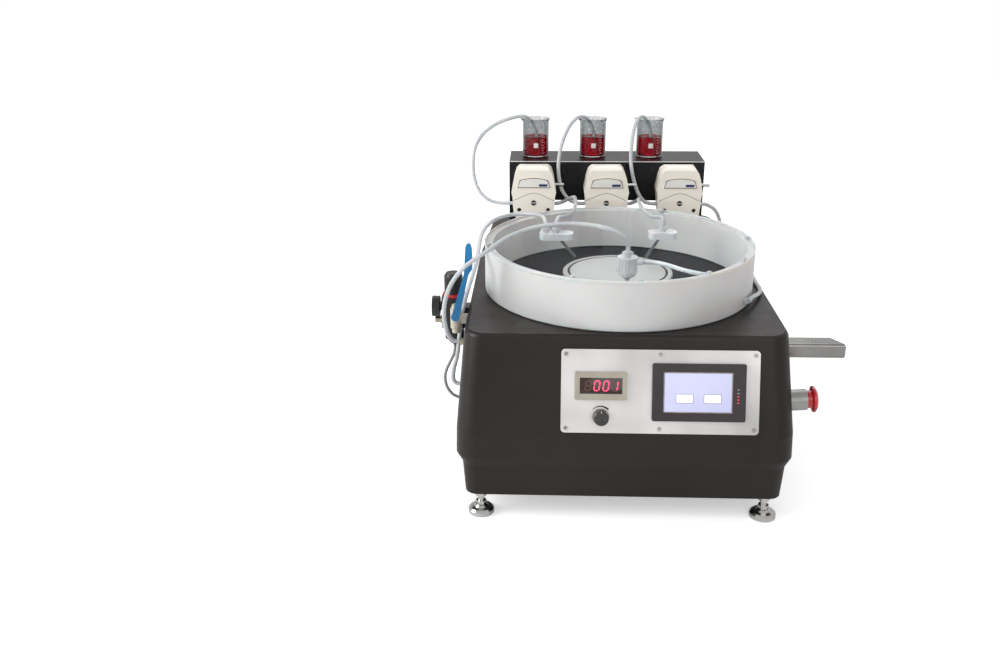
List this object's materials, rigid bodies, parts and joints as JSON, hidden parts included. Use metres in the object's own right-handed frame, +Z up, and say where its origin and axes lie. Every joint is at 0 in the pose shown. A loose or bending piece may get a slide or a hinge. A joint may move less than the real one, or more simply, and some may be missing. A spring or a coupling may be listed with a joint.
{
  "type": "spin coater",
  "caption": "Benchtop spin coater: black housing on levelling feet, milky splash ring with clear lid and spray nozzles over a vacuum chuck, and a rear shelf with pumps and beakers.",
  "frame": {"origin": "on the floor under the middle of the whole machine's outline, with the tubes left out", "axes": "+X to the machine's right as its user faces it, +Y from the front panel to the pump shelf, +Z up"},
  "size_m": [0.656, 0.8042, 0.5105],
  "materials": {
    "housing_shell": "fine textured black paint, satin",
    "plate_steel": "matt black",
    "chrome_feet": "bright",
    "deck": "satin",
    "milky": "translucent white",
    "clear": "clear",
    "steel": "bright",
    "nozzle_white": "satin",
    "chuck_grey": "machined, satin",
    "black_rubber": "matt",
    "aluminium": "brushed",
    "motor": "black",
    "brass": "nickel plated",
    "meter_beige": "satin",
    "knob_black": "satin",
    "touch_bezel": "satin",
    "collar_grey": "satin",
    "stop_red": "gloss",
    "shelf_black": "satin",
    "ivory": "satin",
    "regulator_black": "satin",
    "ring_red": "satin",
    "gauge": "satin",
    "cream": "satin",
    "lever_blue": "gloss",
    "tubing": "translucent soft tube",
    "drain_tube": "translucent soft tube"
  },
  "bodies": {
    "base": {"housing": "housing_shell", "base_plate": "plate_steel", "foot_pads": "chrome_feet", "foot_studs": "chrome_feet", "deck_tray": "deck", "spindle_bearings": "steel", "bearing_housing": "aluminium", "spin_motor": "motor", "vacuum_union": "brass", "front_panel": "aluminium", "panel_screws": "steel", "speed_meter": "meter_beige", "touch_panel": "touch_bezel", "stop_collar": "collar_grey", "exhaust_duct": "steel", "shelf_frame": "shelf_black", "pump_bodies": "ivory", "pump_motors": "motor", "regulator_body": "regulator_black", "lock_ring": "ring_red", "pressure_gauge": "gauge", "valve_body": "cream", "wall_fittings": "brass", "power_inlet": "knob_black", "dip_tube_1": "tubing", "dip_tube_2": "tubing", "dip_tube_3": "tubing", "feed_tube_1": "tubing", "feed_tube_2": "tubing", "feed_tube_3": "tubing", "gas_tube_front": "tubing", "gas_tube_rear": "tubing", "drain_hose": "drain_tube"},
    "spindle": {"spindle_shaft": "steel", "chuck": "chuck_grey", "chuck_seal": "black_rubber"},
    "cover": {"splash_ring": "milky", "lid": "clear", "lid_screws": "steel", "front_nozzle": "nozzle_white", "rear_nozzles": "nozzle_white", "nozzle_tubes": "clear", "ring_union": "nozzle_white", "nozzle_feed": "tubing"},
    "speed_knob": {"speed_knob": "knob_black"},
    "stop_button": {"stop_button": "stop_red"},
    "valve_lever": {"valve_lever": "lever_blue"},
    "regulator_knob": {"regulator_knob": "knob_black"},
    "pump_rotor_1": {"pump_rotor_1": "steel"},
    "pump_jaw_1": {"pump_jaw_1": "ivory"},
    "pump_lever_1": {"pump_lever_1": "steel"},
    "beaker_1": {"beaker_1": "clear"},
    "pump_rotor_2": {"pump_rotor_2": "steel"},
    "pump_jaw_2": {"pump_jaw_2": "ivory"},
    "pump_lever_2": {"pump_lever_2": "steel"},
    "beaker_2": {"beaker_2": "clear"},
    "pump_rotor_3": {"pump_rotor_3": "steel"},
    "pump_jaw_3": {"pump_jaw_3": "ivory"},
    "pump_lever_3": {"pump_lever_3": "steel"},
    "beaker_3": {"beaker_3": "clear"}
  },
  "joints": [
    {"name": "chuck_spin", "type": "hinge", "parent": "base", "child": "spindle", "pos_m": [-0.024, -0.116, 0.2], "axis": [0, 0, 1], "continuous": true},
    {"name": "cover_lift", "type": "slide", "parent": "base", "child": "cover", "axis": [0, 0, 1], "range_m": [0, 0.12], "deforming": ["feed_tube_1", "feed_tube_2", "feed_tube_3", "gas_tube_front", "gas_tube_rear"]},
    {"name": "speed_knob_turn", "type": "hinge", "parent": "base", "child": "speed_knob", "pos_m": [-0.0605, -0.39194, 0.17236], "axis": [0, -0.9597, 0.2811], "range_deg": [-150, 150]},
    {"name": "stop_press", "type": "slide", "parent": "base", "child": "stop_button", "axis": [-0.9969, 0, -0.0783], "range_m": [0, 0.005], "stiffness_N_per_m": 1200, "springref_m": -0.003},
    {"name": "valve_lever_turn", "type": "hinge", "parent": "base", "child": "valve_lever", "pos_m": [-0.28596, -0.255, 0.278], "axis": [0, -1, 0], "range_deg": [0, 90]},
    {"name": "regulator_knob_turn", "type": "hinge", "parent": "base", "child": "regulator_knob", "pos_m": [-0.29299, -0.198, 0.31], "axis": [0, 0, 1], "range_deg": [-1080, 1080]},
    {"name": "pump_rotor_1_spin", "type": "hinge", "parent": "base", "child": "pump_rotor_1", "pos_m": [-0.169, 0.2, 0.3575], "axis": [0, 1, 0], "continuous": true},
    {"name": "pump_jaw_1_lift", "type": "slide", "parent": "base", "child": "pump_jaw_1", "axis": [0, 0, 1], "range_m": [0, 0.008]},
    {"name": "pump_lever_1_turn", "type": "hinge", "parent": "pump_jaw_1", "child": "pump_lever_1", "pos_m": [-0.141, 0.19, 0.389], "axis": [0, -1, 0], "range_deg": [0, 80]},
    {"name": "beaker_1_lift", "type": "slide", "parent": "base", "child": "beaker_1", "axis": [0, 0, 1], "range_m": [0, 0.1], "deforming": ["dip_tube_1"]},
    {"name": "pump_rotor_2_spin", "type": "hinge", "parent": "base", "child": "pump_rotor_2", "pos_m": [-0.029, 0.2, 0.3575], "axis": [0, 1, 0], "continuous": true},
    {"name": "pump_jaw_2_lift", "type": "slide", "parent": "base", "child": "pump_jaw_2", "axis": [0, 0, 1], "range_m": [0, 0.008]},
    {"name": "pump_lever_2_turn", "type": "hinge", "parent": "pump_jaw_2", "child": "pump_lever_2", "pos_m": [-0.001, 0.19, 0.389], "axis": [0, -1, 0], "range_deg": [0, 80]},
    {"name": "beaker_2_lift", "type": "slide", "parent": "base", "child": "beaker_2", "axis": [0, 0, 1], "range_m": [0, 0.1], "deforming": ["dip_tube_2"]},
    {"name": "pump_rotor_3_spin", "type": "hinge", "parent": "base", "child": "pump_rotor_3", "pos_m": [0.111, 0.2, 0.3575], "axis": [0, 1, 0], "continuous": true},
    {"name": "pump_jaw_3_lift", "type": "slide", "parent": "base", "child": "pump_jaw_3", "axis": [0, 0, 1], "range_m": [0, 0.008]},
    {"name": "pump_lever_3_turn", "type": "hinge", "parent": "pump_jaw_3", "child": "pump_lever_3", "pos_m": [0.139, 0.19, 0.389], "axis": [0, -1, 0], "range_deg": [0, 80]},
    {"name": "beaker_3_lift", "type": "slide", "parent": "base", "child": "beaker_3", "axis": [0, 0, 1], "range_m": [0, 0.1], "deforming": ["dip_tube_3"]}
  ],
  "couplings": [
    {"joint": "pump_lever_1_turn", "follows": "pump_jaw_1_lift", "rad_per_m": 174.52},
    {"joint": "pump_lever_2_turn", "follows": "pump_jaw_2_lift", "rad_per_m": 174.52},
    {"joint": "pump_lever_3_turn", "follows": "pump_jaw_3_lift", "rad_per_m": 174.52}
  ]
}
